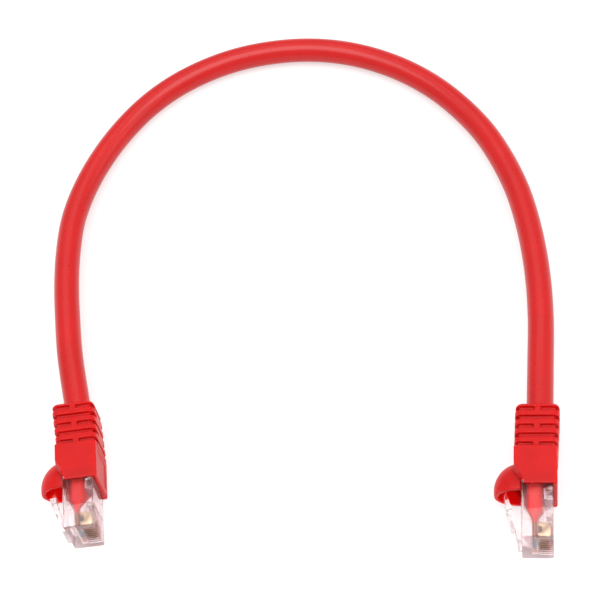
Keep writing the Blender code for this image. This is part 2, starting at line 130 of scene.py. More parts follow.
# Boot: a block with a sunk panel, rebuilt on an even grid and relaxed, which rounds its edges.
BOOT_FRONT = 11.4
BOOT_BODY_BACK = 20.35
BOOT_BACK = 31.2
BOOT_HALF_WIDTH = 6.2
BOOT_LATCH_X = -4.8
BOOT_CONTACT_X = 4.3
BOOT_EDGE = 0.4
BOOT_BORE_RADIUS = 2.97
GRID = 0.1
RELAX_SHARE = 0.5
RELAX_PASSES = 3
RELAXED_AGAIN_FROM = BOOT_BODY_BACK + 0.4
SHANK_GAP = 0.08
SHANK_END_GAP = 0.6
MOUTH_GAP = 0.06
MOUTH_END_GAP = 0.1
PANEL_DEPTH = 0.22
PANEL_FRONT = 12.6
PANEL_BACK = 18.8
PANEL_HALF_WIDTH = 4.6
PANEL_CORNER = 0.6

# Strain relief: a tapered block with levels of slots. Relaxing narrows the slots, so that they are cut
# wider by SLOT_EXTRA on each side.
RELIEF_X = -0.1
RELIEF_CORNER = 1.55
RELIEF_FRONT_HALF_THICK = 4.6
RELIEF_BACK_HALF_THICK = 4.8
RELIEF_FRONT_HALF_WIDTH = 6.0
RELIEF_BACK_HALF_WIDTH = 4.9
RELIEF_LEVELS = 5
RELIEF_PITCH = 2.2
RELIEF_SLOT = 0.8
SLOT_EXTRA = 0.1
RELIEF_DEPTH = 0.95
SIDE_WEB_HALF = 0.65
FACE_WEB_HALF = 2.4

# Notch for the hood, seen from the side: NOTCH_DEEP is its outline at NOTCH_DEPTH from the middle, and
# NOTCH_EDGE its outline in the boot's top and bottom. Its groove is deeper by NOTCH_GROOVE.
NOTCH_DEPTH = 4.2
NOTCH_LIP = 0.05
NOTCH_GROOVE = 0.35
NOTCH_GROOVE_HEADING = (0.89, 0.46)
NOTCH_DEEP = (
    (-9.0, 9.0), (-2.95, 9.0), (-2.95, 11.4), (-5.15, 15.6), (-5.7, 16.75), (-9.0, 16.75),
)
NOTCH_EDGE = (
    (-9.0, 9.0), (-2.8, 9.0), (-2.8, 12.2), (-4.8, 16.9), (-5.6, 18.2), (-9.0, 18.2),
)

# Hood: the part of a hollow ellipsoid that lies behind its rim and outside its skirt. It bends from the
# skirt outwards.
HOOD_RADII = (5.6, 6.2, 4.5)
HOOD_MIDDLE = (-3.5, 12.2)
HOOD_RIM = 10.9
HOOD_SKIRT_X = -3.42
HOOD_WALL = 0.8
HOOD_KEEP_X = -14.0
HOOD_KEEP_BACK = 22.0
HOOD_KEEP_HALF_WIDTH = 8.0

# Cable. Its middle line passes the plug and the boot at these depths. Rings of points make its skin:
# they are close together as far as FINE_TO behind each nose, and wider apart between.
PLUG_DEPTHS = (0.0, 7.0, 14.0)
BOOT_DEPTHS = (BOOT_BODY_BACK, 25.8, BOOT_BACK)
FINE_TO = 20.0
JACKET_STEPS = (0.35, 1.0)
CONDUCTOR_STEPS = (0.4, 2.5)
JACKET_SIDES = 48
CONDUCTOR_SIDES = 16

# Jacket: its flat tip lies in the funnel, the crimp holds it flat, and then it grows round again, first
# to its size in the plug and then to its full one.
JACKET_RADIUS = 2.9
JACKET_X = 0.35
JACKET_IN_PLUG = 0.88
JACKET_TIP = 3.5
JACKET_TIP_HALF = 0.3
JACKET_TIP_HALF_WIDTH = 4.05
NARROWS_FROM = 3.6
CRIMPED_HALF_THICK = 1.72
CRIMPED_HALF_WIDTH = 3.6
CRIMPED_TO = 13.5
RELEASED_FROM = 18.0
JACKET_FREE = 22.0
JACKET_ROUND = 28.0

# Conductors: a flat row that spreads to a ring, which the crimp flattens too.
CONDUCTOR_RADIUS = 0.4
CONDUCTOR_TIP = 0.9
CONDUCTOR_RING = 1.45
SPREAD_DEPTHS = (4.4, 8.6)
CRIMPED_RING_X = 0.85
CRIMPED_RING_Z = 2.5
RING_STEP = 45
RING_LOWEST = -67.5

# The free cable between the boots: middle of the cable, in metres, the same points as in the CAD.
FREE_ROUTE = [
    (-0.0520, 0.0340, 0.0061), (-0.0531, 0.0435, 0.0057),
    (-0.0539, 0.0530, 0.0053), (-0.0541, 0.0625, 0.0048), (-0.0534, 0.0720, 0.0043),
    (-0.0512, 0.0808, 0.0038), (-0.0474, 0.0898, 0.00335), (-0.0424, 0.0980, 0.00305),
    (-0.0363, 0.1051, 0.00295), (-0.0290, 0.1108, 0.00295), (-0.0201, 0.1152, 0.00295),
    (-0.0114, 0.1176, 0.00295), (-0.0015, 0.1184, 0.00295), (0.0075, 0.1175, 0.00295),
    (0.0163, 0.1149, 0.00295), (0.0254, 0.1102, 0.00295), (0.0330, 0.1043, 0.00295),
    (0.0390, 0.0978, 0.00295), (0.0445, 0.0898, 0.0030), (0.0483, 0.0816, 0.00325),
    (0.0514, 0.0720, 0.0037), (0.0531, 0.0630, 0.00415), (0.0541, 0.0532, 0.0047),
    (0.0544, 0.0440, 0.0052), (0.0541, 0.0345, 0.0057), (0.0533, 0.0250, 0.0061),
    (0.0525, 0.0160, 0.0062),
]

# Colours. A surface with two of them drifts from one to the other. Red light goes further into the thin
# hood than into the boot.
BOOT_REDS = ((0.50, 0.004, 0.004), (0.56, 0.006, 0.006))
JACKET_REDS = ((0.48, 0.003, 0.003), (0.54, 0.004, 0.004))
GOLDS = ((0.46, 0.38, 0.24), (0.60, 0.50, 0.33))
# Pink tints of the clear plastic, a painted reflection of the red boots and jacket: the first colours what
# the plastic reflects and refracts, the second the light that passes it straight, which it also dims a
# little.
CLEAR_PINK_PAINTED_REFLECTION = (0.995, 0.90, 0.91)
STRAIGHT_TINT_PAINTED_PINK = (0.97, 0.89, 0.90)
STUDIO_GREY = (0.42, 0.42, 0.42)
WHITE = (1.0, 1.0, 1.0)
PALE = (0.80, 0.76, 0.70)
ORANGE = (0.62, 0.20, 0.05)
GREEN = (0.06, 0.26, 0.10)
BLUE = (0.07, 0.12, 0.36)
BROWN = (0.20, 0.09, 0.04)
BOOT_GLOW = {"subsurface": 0.6, "reach": 0.003}
HOOD_GLOW = {"subsurface": 0.95, "reach": 0.006}

# Conductors by pin: name, colour and the colour of its wide bands, which repeat every BAND_STEP mm.
CONDUCTORS = {
    1: ("white_orange", PALE, ORANGE),
    2: ("orange", ORANGE, None),
    3: ("white_green", PALE, GREEN),
    4: ("blue", BLUE, None),
    5: ("white_blue", PALE, BLUE),
    6: ("green", GREEN, None),
    7: ("white_brown", PALE, BROWN),
    8: ("brown", BROWN, None),
}
BAND_STEP = 5.0

# Share of the seen light that passes the clear plastic straight, as through its many thin walls.
CLEAR_SHARE = 0.2

# Studio light, in metres and watts: each softbox has its place, what it faces, its width, height and
# power. Round them are a white room and a floor that glows like a light table.
SOFTBOXES = {
    "top_softbox": ((0.0, -0.07, 0.95), (0.0, -0.07, 0.0), 1.2, 0.7, 8.5),
    "back_strip": ((0.0, 0.66, 0.88), (0.0, 0.05, 0.0), 1.0, 0.1, 0.8),
    "right_softbox": ((0.8, 0.0, 0.5), (0.0, 0.05, 0.0), 0.7, 0.6, 1.2),
}
WORLD_STRENGTH = 0.7
FLOOR_HALF_SIZE = 3.0
FLOOR_HEIGHT = -0.00005
FLOOR_GLOW = 0.58

# Camera: where it stands, what it looks at and how far it is rolled.
CAMERA_PLACE = Vector((0.0398, -0.1779, 0.3756))
CAMERA_TARGET = Vector((-0.0001, 0.0480, 0.0))
CAMERA_ROLL = math.radians(-12.67)
CAMERA_LENS = 114.6
CAMERA_SENSOR = 36.0
CAMERA_NEAREST = 0.01


# ---------------------------------------------------------------- shapes


def add_object(name, data):
    """A new object of the scene that holds this mesh, lamp or camera."""
    obj = bpy.data.objects.new(name, data)
    bpy.context.scene.collection.objects.link(obj)
    return obj


def mesh_from(name, edit):
    """A new object made from an edit mesh, which is freed."""
    mesh = bpy.data.meshes.new(name)
    edit.to_mesh(mesh)
    edit.free()
    return add_object(name, mesh)


def add_box(name, low, high):
    """A box between two opposite corners."""
    edit = bmesh.new()
    low, high = Vector(low), Vector(high)
    bmesh.ops.create_cube(edit, size=1.0)
    bmesh.ops.scale(edit, vec=high - low, verts=edit.verts)
    bmesh.ops.translate(edit, vec=(low + high) / 2, verts=edit.verts)
    return mesh_from(name, edit)


def add_ellipsoid(name, centre, radii):
    edit = bmesh.new()
    bmesh.ops.create_uvsphere(edit, u_segments=96, v_segments=48, radius=1.0)
    bmesh.ops.scale(edit, vec=radii, verts=edit.verts)
    bmesh.ops.translate(edit, vec=centre, verts=edit.verts)
    return mesh_from(name, edit)


def add_prism(name, outline, low, high):
    """A flat outline in X and Y that stands from z = low to z = high."""
    edit = bmesh.new()
    face = edit.faces.new([edit.verts.new((x, y, low)) for x, y in outline])
    grown = bmesh.ops.extrude_face_region(edit, geom=[face])
    tops = [item for item in grown["geom"] if isinstance(item, bmesh.types.BMVert)]
    bmesh.ops.translate(edit, vec=(0.0, 0.0, high - low), verts=tops)
    bmesh.ops.recalc_face_normals(edit, faces=edit.faces)
    return mesh_from(name, edit)


def add_cylinder(name, start, end, radius, sides=48):
    """A closed cylinder between two points."""
    edit = bmesh.new()
    axis = Vector(end) - Vector(start)
    bmesh.ops.create_cone(
        edit, cap_ends=True, segments=sides, radius1=radius, radius2=radius, depth=axis.length
    )
    turn = axis.to_track_quat("Z", "Y").to_matrix().to_4x4()
    place = Matrix.Translation((Vector(start) + Vector(end)) / 2) @ turn
    bmesh.ops.transform(edit, matrix=place, verts=edit.verts)
    return mesh_from(name, edit)


def evaluate(obj):
    """Apply every modifier of a mesh object."""
    graph = bpy.context.evaluated_depsgraph_get()
    graph.update()
    mesh = bpy.data.meshes.new_from_object(obj.evaluated_get(graph))
    obj.modifiers.clear()
    obj.data = mesh
    return obj


def round_edges(obj, width, segments):
    """Round every sharp edge of a mesh object."""
    bevel = obj.modifiers.new("Edges", "BEVEL")
    bevel.width = width
    bevel.segments = segments
    bevel.limit_method = "ANGLE"
    bevel.angle_limit = ROUNDED_ANGLE
    return evaluate(obj)


def combine(target, others, operation):
    """Apply a Boolean with each of the other objects, and remove them."""
    for other in others:
        modifier = target.modifiers.new(operation.title(), "BOOLEAN")
        modifier.operation = operation
        modifier.object = other
        modifier.solver = "EXACT"
        evaluate(target)
        bpy.data.objects.remove(other, do_unlink=True)
    return target


def on_fine_grid(obj):
    """Rebuild a moulded shape on a fine even grid."""
    remesh = obj.modifiers.new("Grid", "REMESH")
    remesh.mode = "VOXEL"
    remesh.voxel_size = GRID
    return evaluate(obj)


def relax(obj, behind=None):
    """Even out the grid, which rounds every edge a little: all of it, or what lies behind this Y."""
    smooth = obj.modifiers.new("Relax", "SMOOTH")
    smooth.factor = RELAX_SHARE
    smooth.iterations = RELAX_PASSES
    if behind is not None:
        group = obj.vertex_groups.new(name="relaxed")
        group.add([v.index for v in obj.data.vertices if v.co.y > behind], 1.0, "REPLACE")
        smooth.vertex_group = group.name
    evaluate(obj)
    obj.vertex_groups.clear()
    obj.data.shade_smooth()
    return obj


def end_matrix(name):
    """From an end's own frame, in millimetres, to the world, in metres."""
    end = ENDS[name]
    place = Matrix.Translation((*end["nose"], MIDDLE_HEIGHT))
    return place @ Matrix.Rotation(end["turn"], 4, "Z") @ Matrix.Scale(MM, 4)


def world_point(name, point):
    """Where a point of an end's own frame lies in the world."""
    return end_matrix(name) @ Vector(point)


def boot_point(name, x, y):
    """A point at mid height in the boot's own frame, which slides along the plug's."""
    return world_point(name, (x, y + ENDS[name]["seat"], 0.0))


def to_world(obj, name, seat=0.0):
    """Move a mesh from an end's own frame to its place in the world."""
    obj.data.transform(end_matrix(name) @ Matrix.Translation((0.0, seat, 0.0)))
    obj.data.update()
    return obj


def row_z(pin):
    """Height of a pin's middle above the plug's middle. Pin 1 is the lowest one."""
    return (pin - (PIN_COUNT + 1) / 2) * PIN_PITCH


def smooth_step(value, start, end):
    """From 0 at the start to 1 at the end, without a kink at either."""
    share = min(1.0, max(0.0, (value - start) / (end - start)))
    return share * share * (3 - 2 * share)


# ---------------------------------------------------------------- materials


class Paint:
    """A Principled material and short ways to add nodes to it."""

    def __init__(self, name, colour, roughness, metallic=0.0):
        self.material = bpy.data.materials.new(name)
        self.material.use_nodes = True
        self.tree = self.material.node_tree
        self.shader = self.tree.nodes["Principled BSDF"]
        self.set("Base Color", (*colour, 1.0))
        self.set("Roughness", roughness)
        self.set("Metallic", metallic)

    def set(self, socket, value):
        """Give one of the shader's inputs a fixed value."""
        self.shader.inputs[socket].default_value = value

    def drive(self, socket, source):
        """Give one of the shader's inputs the output of another node."""
        self.link(source, self.shader.inputs[socket])

    def node(self, kind, **values):
        """A new node with these properties or, where it has no such property, input values."""
        made = self.tree.nodes.new(kind)
        for key, value in values.items():
            if hasattr(made, key):
                setattr(made, key, value)
            else:
                made.inputs[key].default_value = value
        return made

    def link(self, source, target):
        self.tree.links.new(source, target)

    def noise(self, scale, detail, stretch=(1.0, 1.0, 1.0), coordinates="Object"):
        """Noise with this many cells to the metre, or to the unit of the UV map."""
        place = self.node("ShaderNodeTexCoord")
        mapping = self.node("ShaderNodeMapping")
        mapping.inputs["Scale"].default_value = stretch
        texture = self.node("ShaderNodeTexNoise", Scale=scale, Detail=detail)
        self.link(place.outputs[coordinates], mapping.inputs["Vector"])
        self.link(mapping.outputs["Vector"], texture.inputs["Vector"])
        return texture.outputs["Fac"]

    def ramp(self, factor, colours, positions=(0.3, 0.7)):
        """A factor mapped to a drift from the first colour to the second, between two positions."""
        ramp = self.node("ShaderNodeValToRGB")
        for element, position, colour in zip(ramp.color_ramp.elements, positions, colours):
            element.position = position
            element.color = (*colour, 1.0)
        self.link(factor, ramp.inputs["Fac"])
        return ramp.outputs["Color"]

    def spread(self, factor, low, high):
        """A factor from 0 to 1 mapped to a range."""
        mapped = self.node("ShaderNodeMapRange")
        mapped.inputs["To Min"].default_value = low
        mapped.inputs["To Max"].default_value = high
        self.link(factor, mapped.inputs["Value"])
        return mapped.outputs["Result"]

    def bump(self, height, strength, distance, before=None):
        """Relief from a height, on top of the relief made before it, if any."""
        bump = self.node("ShaderNodeBump", Strength=strength, Distance=distance)
        self.link(height, bump.inputs["Height"])
        if before is not None:
            self.link(before, bump.inputs["Normal"])
        self.drive("Normal", bump.outputs["Normal"])
        return bump.outputs["Normal"]


def red_boot_material(name, subsurface, reach):
    """Moulded soft PVC: satin, a very fine spark-eroded texture and slightly uneven depth of colour."""
    paint = Paint(name, (0.66, 0.005, 0.005), 0.38)
    cloud = paint.noise(160.0, 3.0)
    paint.drive("Base Color", paint.ramp(cloud, BOOT_REDS))
    paint.drive("Roughness", paint.spread(paint.noise(2400.0, 2.0), 0.32, 0.44))
    fine = paint.bump(paint.noise(6500.0, 3.0), 0.25, 0.00003)
    paint.bump(cloud, 0.15, 0.0002, fine)
    paint.set("Specular IOR Level", 0.2)
    paint.set("Subsurface Weight", subsurface)
    paint.set("Subsurface Radius", (reach, 0.0001, 0.0001))
    paint.set("Subsurface Scale", 1.0)
    return paint.material


def red_jacket_material():
    """Extruded PVC jacket: smoother than the boots, with fine drag lines along the cable."""
    paint = Paint("extruded_red_pvc", (0.64, 0.005, 0.005), 0.32)
    cloud = paint.noise(90.0, 3.0)
    paint.drive("Base Color", paint.ramp(cloud, JACKET_REDS))
    lines = paint.noise(40.0, 3.0, (1.0, 0.02, 1.0), "UV")
    paint.drive("Roughness", paint.spread(lines, 0.24, 0.34))
    drawn = paint.bump(lines, 0.12, 0.00005)
    paint.bump(paint.noise(5000.0, 2.0), 0.12, 0.00002, drawn)
    paint.set("Specular IOR Level", 0.4)
    return paint.material


def clear_material():
    """Clear polycarbonate with the faint flow marks of moulding, tinted pink as a painted reflection of
    the red boots and jacket.

    A share of the light that is seen, and all of the light that would cast a shadow, goes straight on.
    """
    # The pink of this base colour is a painted reflection of the red boots and jacket.
    paint = Paint("clear_polycarbonate", CLEAR_PINK_PAINTED_REFLECTION, 0.01)
    paint.set("Transmission Weight", 1.0)
    paint.set("IOR", 1.52)
    flow = paint.noise(220.0, 2.0, (1.0, 0.35, 1.0))
    paint.drive("Roughness", paint.spread(flow, 0.0, 0.02))
    paint.bump(flow, 0.03, 0.00005)
    # The pink of this see-through tint is a painted reflection of the red boots and jacket too; it also
    # dims the light a little.
    through = paint.node("ShaderNodeBsdfTransparent", Color=(*STRAIGHT_TINT_PAINTED_PINK, 1.0))
    seen = paint.node("ShaderNodeMixShader", Fac=CLEAR_SHARE)
    paint.link(paint.shader.outputs["BSDF"], seen.inputs[1])
    paint.link(through.outputs["BSDF"], seen.inputs[2])
    lit = paint.node("ShaderNodeMixShader")
    paint.link(paint.node("ShaderNodeLightPath").outputs["Is Shadow Ray"], lit.inputs[0])
    paint.link(seen.outputs["Shader"], lit.inputs[1])
    paint.link(through.outputs["BSDF"], lit.inputs[2])
    paint.link(lit.outputs["Shader"], paint.tree.nodes["Material Output"].inputs["Surface"])
    return paint.material


def gold_material():
    """Gold-plated blades: bright, with fine stamping lines."""
    paint = Paint("gold_plate", (0.54, 0.45, 0.29), 0.32, metallic=1.0)
    grain = paint.noise(1500.0, 3.0, (1.0, 0.1, 1.0))
    paint.drive("Base Color", paint.ramp(grain, GOLDS, (0.3, 0.75)))
    paint.drive("Roughness", paint.spread(grain, 0.25, 0.40))
    paint.bump(grain, 0.15, 0.00003)
    return paint.material


def insulation_material(label, colour, stripe):
    """Coloured insulation. A striped conductor is pale between wide bands of its partner's colour."""
    paint = Paint(f"insulation_{label}", colour, 0.4)
    skin = paint.noise(900.0, 2.0)
    if stripe is None:
        darker = tuple(0.85 * part for part in colour)
        paint.drive("Base Color", paint.ramp(skin, (darker, colour)))
    else:
        place = paint.node("ShaderNodeTexCoord")
        split = paint.node("ShaderNodeSeparateXYZ")
        wave = paint.node("ShaderNodeMath", operation="PINGPONG")
        wave.inputs[1].default_value = BAND_STEP / 2
        paint.link(place.outputs["UV"], split.inputs["Vector"])
        paint.link(split.outputs["Y"], wave.inputs[0])
        band = paint.ramp(wave.outputs["Value"], (colour, stripe), (0.55, 0.60))
        paint.drive("Base Color", band)
    paint.drive("Roughness", paint.spread(skin, 0.34, 0.48))
    paint.bump(skin, 0.1, 0.00003)
    return paint.material


def floor_material():
    """White light table: it glows a little, so that shadows and red reflections on it stay faint."""
    paint = Paint("studio_white", STUDIO_GREY, 0.75)
    paint.drive("Roughness", paint.spread(paint.noise(40.0, 3.0), 0.7, 0.8))
    paint.set("Emission Color", (*WHITE, 1.0))
    paint.set("Emission Strength", FLOOR_GLOW)
    return paint.material


def paint_with(obj, material):
    """Give an object its material."""
    obj.data.materials.clear()
    obj.data.materials.append(material)
    return obj


# ---------------------------------------------------------------- cable


def relief_shift(y, name):
    """How far the strain relief leans sideways with the cable at this depth in the boot."""
    along = max(0.0, (y - BOOT_BODY_BACK) / (BOOT_BACK - BOOT_BODY_BACK))
    return ENDS[name]["lean"] * along


def plug_run(name):
    """The cable's middle through one plug and boot, from the nose back."""
    run = [tuple(world_point(name, (JACKET_X, depth, 0.0))) for depth in PLUG_DEPTHS]
    for depth in BOOT_DEPTHS:
        run.append(tuple(boot_point(name, JACKET_X + relief_shift(depth, name), depth)))
    return run


def whole_route():
    """The cable's middle from the left plug's nose to the right plug's nose, in metres."""
    return np.array(plug_run("left") + FREE_ROUTE + plug_run("right")[::-1])


def smooth_curve(points, samples=24):
    """Points close together on a centripetal Catmull-Rom curve through the given ones."""
    ends = np.vstack([2 * points[0] - points[1], points, 2 * points[-1] - points[-2]])
    dense = []
    for a, b, c, d in zip(ends, ends[1:], ends[2:], ends[3:]):
        t1 = np.linalg.norm(b - a) ** 0.5
        t2 = t1 + np.linalg.norm(c - b) ** 0.5
        t3 = t2 + np.linalg.norm(d - c) ** 0.5
        for t in np.linspace(t1, t2, samples, endpoint=False):
            first = (t1 - t) / t1 * a + t / t1 * b
            second = (t2 - t) / (t2 - t1) * b + (t - t1) / (t2 - t1) * c
            third = (t3 - t) / (t3 - t2) * c + (t - t2) / (t3 - t2) * d
            fourth = (t2 - t) / t2 * first + t / t2 * second
            fifth = (t3 - t) / (t3 - t1) * second + (t - t1) / (t3 - t1) * third
            dense.append((t2 - t) / (t2 - t1) * fourth + (t - t1) / (t2 - t1) * fifth)
    dense.append(points[-1])
    return np.array(dense)


class Route:
    """The cable's middle line, read by distance along it."""

    def __init__(self, points):
        """Measure the smooth curve through these points."""
        self.curve = smooth_curve(points)
        steps = np.linalg.norm(np.diff(self.curve, axis=0), axis=1)
        self.along = np.concatenate([[0.0], np.cumsum(steps)])
        self.length = float(self.along[-1])
        self.tangents = np.gradient(self.curve, self.along, axis=0)

    def at(self, place):
        """Point, heading and sideways direction at a distance from the left nose."""
        point = np.array([np.interp(place, self.along, self.curve[:, k]) for k in range(3)])
        heading = np.array([np.interp(place, self.along, self.tangents[:, k]) for k in range(3)])
        heading /= np.linalg.norm(heading)
        side = np.cross(heading, (0.0, 0.0, 1.0))
        side /= np.linalg.norm(side)
        return point, heading, side

    def depth(self, place):
        """Distance behind the nearer nose, in millimetres, and 1 for the left end or -1."""
        if place < self.length / 2:
            return place / MM, 1
        return (self.length - place) / MM, -1


def add_loft(name, rings, distances):
    """A closed tube through rings of points, with a UV map: round the ring, then millimetres along."""
    edit = bmesh.new()
    layer = edit.loops.layers.uv.new("along")
    sides = len(rings[0])
    rows = [[edit.verts.new(point) for point in ring] for ring in rings]
    for row in range(len(rows) - 1):
        for k in range(sides):
            corners = ((row, k), (row, k + 1), (row + 1, k + 1), (row + 1, k))
            face = edit.faces.new([rows[r][c % sides] for r, c in corners])
            face.smooth = True
            for loop, (r, c) in zip(face.loops, corners):
                loop[layer].uv = (c / sides, distances[r] / MM)
    for row, distance in ((rows[0], distances[0]), (rows[-1], distances[-1])):
        face = edit.faces.new(row if row is rows[0] else row[::-1])
        for loop in face.loops:
            loop[layer].uv = (0.5, distance / MM)
    bmesh.ops.recalc_face_normals(edit, faces=edit.faces)
    return mesh_from(name, edit)


def funnel(depth):
    """How far the funnel in the plug has opened at a depth, from 0 at its throat to 1."""
    share = (depth - FUNNEL_FRONT) / (FUNNEL_BACK - FUNNEL_FRONT)
    return min(1.0, max(0.0, share)) ** FUNNEL_CURVE


def jacket_section(depth):
    """Half thickness, half width, sideways shift and squareness of the jacket behind the nose.

    The plug's crimp presses it flat; behind that it grows round again.
    """
    rounded = smooth_step(depth, JACKET_FREE, JACKET_ROUND)
    full = JACKET_RADIUS * (JACKET_IN_PLUG + (1 - JACKET_IN_PLUG) * rounded)
    free = smooth_step(depth, CRIMPED_TO, RELEASED_FROM)
    thick = JACKET_TIP_HALF + (CRIMPED_HALF_THICK - JACKET_TIP_HALF) * funnel(depth)
    narrowing = smooth_step(depth, NARROWS_FROM, FUNNEL_BACK)
    wide = JACKET_TIP_HALF_WIDTH + (CRIMPED_HALF_WIDTH - JACKET_TIP_HALF_WIDTH) * narrowing
    thick += (full - thick) * free
    wide += (full - wide) * free
    return thick, wide, (ROW_X - JACKET_X) * (1 - free), 0.5 + 0.5 * free


def ring_places(route, tip, steps):
    """Distances along the route for the rings of a skin, from a tip's depth to the other tip's."""
    fine, wide = steps
    near = np.arange(tip * MM, FINE_TO * MM, fine * MM)
    middle = np.arange(FINE_TO * MM, route.length - FINE_TO * MM, wide * MM)
    return np.concatenate([near, middle, (route.length - near)[::-1]])


def make_jacket(route):
    """The jacket, and the middles of its rings, which are the cord's path."""
    places = ring_places(route, JACKET_TIP, JACKET_STEPS)
    rings = []
    middles = []
    for place in places:
        point, _, side = route.at(place)
        depth, facing = route.depth(place)
        thick, wide, shift, power = jacket_section(depth)
        centre = point + facing * shift * MM * side
        middles.append(tuple(centre))
        ring = []
        for k in range(JACKET_SIDES):
            turn = 2 * math.pi * k / JACKET_SIDES
            across = math.copysign(abs(math.cos(turn)) ** power, math.cos(turn))
            up = math.copysign(abs(math.sin(turn)) ** power, math.sin(turn))
            upwards = np.array((0.0, 0.0, wide * up * MM))
            ring.append(centre + thick * across * MM * side + upwards)
        rings.append(ring)
    jacket = add_loft("cable_jacket_skin", rings, places)
    return jacket, middles


def ring_angle(pin):
    """Where a conductor lies in the ring: low pins low, with an odd pin across from the next one."""
    pair, second = divmod(pin - 1, 2)
    height = RING_LOWEST + RING_STEP * pair
    return math.radians(height if second else 180 - height)


def make_conductor(route, pin, label):
    """One insulated conductor: flat row in each plug, ring of eight inside the jacket."""
    places = ring_places(route, CONDUCTOR_TIP, CONDUCTOR_STEPS)
    angle = ring_angle(pin)
    rings = []
    for place in places:
        point, _, side = route.at(place)
        depth, facing = route.depth(place)
        free = smooth_step(depth, CRIMPED_TO, RELEASED_FROM)
        spread = smooth_step(depth, *SPREAD_DEPTHS)
        row_x = facing * (ROW_X - JACKET_X)
        ring_x = CRIMPED_RING_X + (CONDUCTOR_RING - CRIMPED_RING_X) * free
        ring_z = CRIMPED_RING_Z + (CONDUCTOR_RING - CRIMPED_RING_Z) * free
        x = row_x * (1 - free) + spread * ring_x * math.cos(angle)
        z = row_z(pin) + spread * (ring_z * math.sin(angle) - row_z(pin))
        centre = point + x * MM * side + np.array((0.0, 0.0, z * MM))
        ring = []
        for k in range(CONDUCTOR_SIDES):
            turn = 2 * math.pi * k / CONDUCTOR_SIDES
            offset = math.cos(turn) * side + math.sin(turn) * np.array((0.0, 0.0, 1.0))
            ring.append(centre + CONDUCTOR_RADIUS * MM * offset)
        rings.append(ring)
    return add_loft(f"conductor_{pin}_{label}_skin", rings, places)


# ---------------------------------------------------------------- plug


def make_latch(name):
    """Spring latch: a prism, cut down to the tail's width on both sides behind the shoulders."""
    latch = add_prism(f"{name}_latch_blank", LATCH_OUTLINE, -LATCH_HALF_WIDTH, LATCH_HALF_WIDTH)
    low_x, high_x = TAIL_CUT_X
    steps = []
    for side in (-1, 1):
        near, far = sorted((side * TAIL_HALF_WIDTH, side * TAIL_CUT_HALF_WIDTH))
        steps.append(add_box(
            f"{name}_step", (low_x, LATCH_SHOULDER, near), (high_x, TAIL_CUT_BACK, far)
        ))
    combine(latch, steps, "DIFFERENCE")
    return round_edges(latch, LATCH_EDGE, segments=2)


def make_plug_block(name):
    """The plug's outside with its latch: the wide front, and a neck and a shank inside the boot."""
    front_length = BOOT_FRONT + ENDS[name]["seat"] + FRONT_INSIDE
    body = add_box(
        f"{name}_plug", (-PLUG_HALF_THICK, 0.0, -PLUG_HALF_WIDTH),
        (PLUG_HALF_THICK, front_length, PLUG_HALF_WIDTH),
    )
    round_edges(body, PLUG_EDGE, segments=3)
    shank = add_box(
        f"{name}_shank", (-SHANK_HALF_THICK, front_length - OVERLAP, -SHANK_HALF_WIDTH),
        (SHANK_HALF_THICK, PLUG_LENGTH, SHANK_HALF_WIDTH),
    )
    neck = add_box(
        f"{name}_neck", (NECK_LATCH_X, front_length - OVERLAP, -PLUG_HALF_WIDTH),
        (PLUG_HALF_THICK, front_length + NECK_LENGTH, PLUG_HALF_WIDTH),
    )
    return combine(body, [neck, shank, make_latch(name)], "UNION")


def cavity_outline():
    """Side view of the hollow: from the flat row it opens like a funnel, then passes the crimp bar."""
    row, half = ROW_X, ROW_CHANNEL
    past = PLUG_LENGTH + OVERLAP
    low, high = [(row - half, CHANNEL_BACK)], [(row + half, CHANNEL_BACK)]
    for depth in np.linspace(FUNNEL_FRONT, FUNNEL_BACK, FUNNEL_STEPS):
        low.append((row - half + (CAVITY_LATCH_X - row + half) * funnel(depth), float(depth)))
        high.append((row + half + (CAVITY_CONTACT_X - row - half) * funnel(depth), float(depth)))
    ends = [(CAVITY_CONTACT_X, past), (CAVITY_LATCH_X, past)]
    return high + list(BAR_OUTLINE) + ends + low[::-1]


def make_housing(name):
    """Clear plug with its latch, one moulding, with its hollow, eight slots and two windows."""
    body = make_plug_block(name)
    cuts = [add_prism(
        f"{name}_cavity", cavity_outline(), -CAVITY_HALF_WIDTH, CAVITY_HALF_WIDTH
    )]
    for pin in range(1, PIN_COUNT + 1):
        middle = row_z(pin)
        cuts.append(add_prism(
            f"{name}_slot", SLOT_OUTLINE, middle - SLOT_WIDTH / 2, middle + SLOT_WIDTH / 2
        ))
        cuts.append(add_box(
            f"{name}_channel", (ROW_X - ROW_CHANNEL, CHANNEL_FRONT, middle - CHANNEL_WIDTH / 2),
            (ROW_X + ROW_CHANNEL, CHANNEL_BACK + CHANNEL_OVERLAP, middle + CHANNEL_WIDTH / 2),
        ))
    for window in (WIRE_WINDOW, JACKET_WINDOW):
        cuts.append(add_box(f"{name}_pocket", *window))
    combine(body, cuts, "DIFFERENCE")
    body.name = f"{name}_clear_plug"
    body.data.shade_smooth()
    body.data.set_sharp_from_angle(angle=CRISP_PLASTIC)
    return to_world(body, name)


def make_contact(name, pin):
    """Gold-plated blade with two tines that stand over its conductor, its stamped edges broken."""
    middle = row_z(pin)
    low, high = middle - BLADE_THICK / 2, middle + BLADE_THICK / 2
    blade = add_prism(f"{name}_blade_{pin}", BLADE_OUTLINE, low, high)
    round_edges(blade, BLADE_EDGE, segments=2)
    blade.data.shade_smooth()
    blade.data.set_sharp_from_angle(angle=CRISP_METAL)
    return to_world(blade, name)


# ---------------------------------------------------------------- boot


def relief_half_width(y):
    """Half width of the strain relief at this depth in the boot."""
    along = (y - BOOT_BODY_BACK) / (BOOT_BACK - BOOT_BODY_BACK)
    return RELIEF_FRONT_HALF_WIDTH + along * (RELIEF_BACK_HALF_WIDTH - RELIEF_FRONT_HALF_WIDTH)


